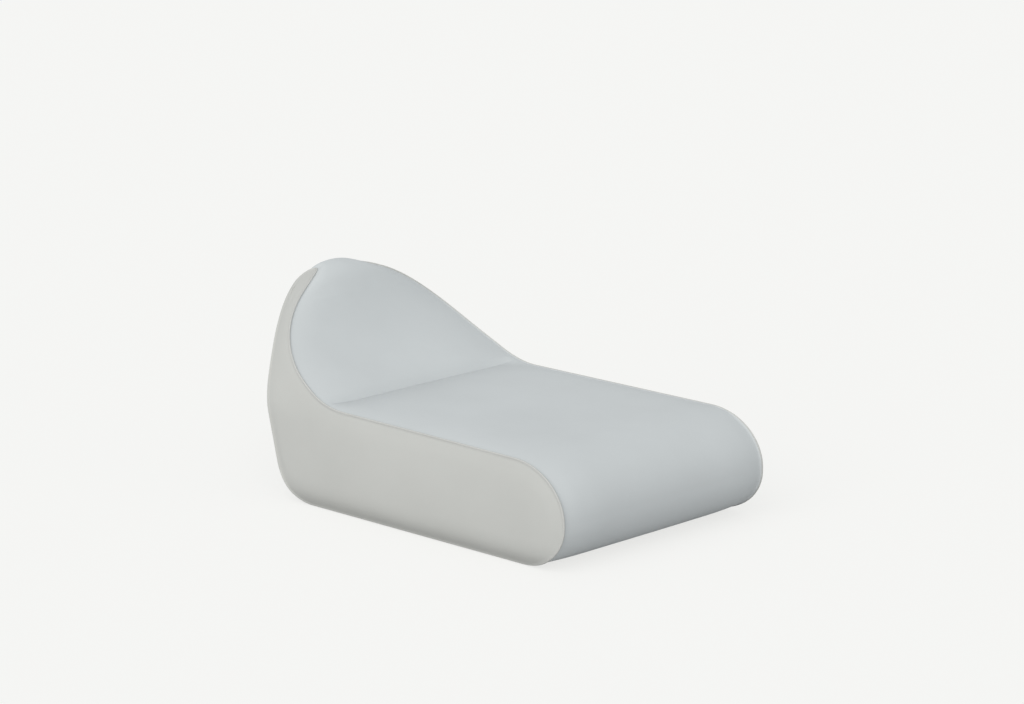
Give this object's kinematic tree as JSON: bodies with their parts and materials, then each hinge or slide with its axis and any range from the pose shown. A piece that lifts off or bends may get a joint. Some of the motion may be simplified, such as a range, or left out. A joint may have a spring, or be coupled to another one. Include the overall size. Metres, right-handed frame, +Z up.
{
  "type": "spa relaxation lounger",
  "caption": "Low upholstered foam chaise with a rolled foot end, a flat seat and a rounded backrest that narrows to the top, in a piped removable zip cover.",
  "frame": {"origin": "middle of the length and the width, on the floor plane that the base panel rests on", "axes": "+Z up; X across the width, -X is the left side as seen from the foot end; +Y along the length from the foot end to the backrest"},
  "size_m": [0.957, 1.551, 0.7142],
  "materials": {
    "side_cover": "matte",
    "band_cover": "matte",
    "base_cover": "matte",
    "piping_cover": "matte",
    "fastening_tape": "matte",
    "firm_foam": "matte",
    "soft_foam": "matte",
    "zip_tape": "matte",
    "zip_coil": "satin",
    "zip_metal": "satin"
  },
  "bodies": {
    "lounger": {"side_panel_left": "side_cover", "side_panel_right": "side_cover", "seat_panel": "band_cover", "backrest_panel": "band_cover", "rear_panel": "band_cover", "base_panel": "base_cover", "piping_left": "piping_cover", "piping_right": "piping_cover", "crease_loop_tape": "fastening_tape", "crease_hook_tape": "fastening_tape", "base_foam": "firm_foam", "back_wedge_foam": "firm_foam", "seat_foam": "soft_foam", "back_foam": "soft_foam", "side_foam_left": "soft_foam", "side_foam_right": "soft_foam", "zip_tape_upper": "zip_tape", "zip_tape_lower": "zip_tape", "zip_coil_upper": "zip_coil", "zip_coil_lower": "zip_coil", "zip_stop_left": "zip_metal", "zip_stop_right": "zip_metal"},
    "zip_slider": {"zip_slider": "zip_metal"},
    "zip_puller": {"zip_puller": "zip_metal"}
  },
  "joints": [
    {"name": "zip_travel", "type": "slide", "parent": "lounger", "child": "zip_slider", "axis": [1, 0, 0], "range_m": [0, 0.5993]},
    {"name": "zip_puller_hinge", "type": "hinge", "parent": "zip_slider", "child": "zip_puller", "pos_m": [-0.29964, 0.48002, 0.03237], "axis": [0, 0.8118, 0.584], "range_deg": [0, 165]}
  ]
}
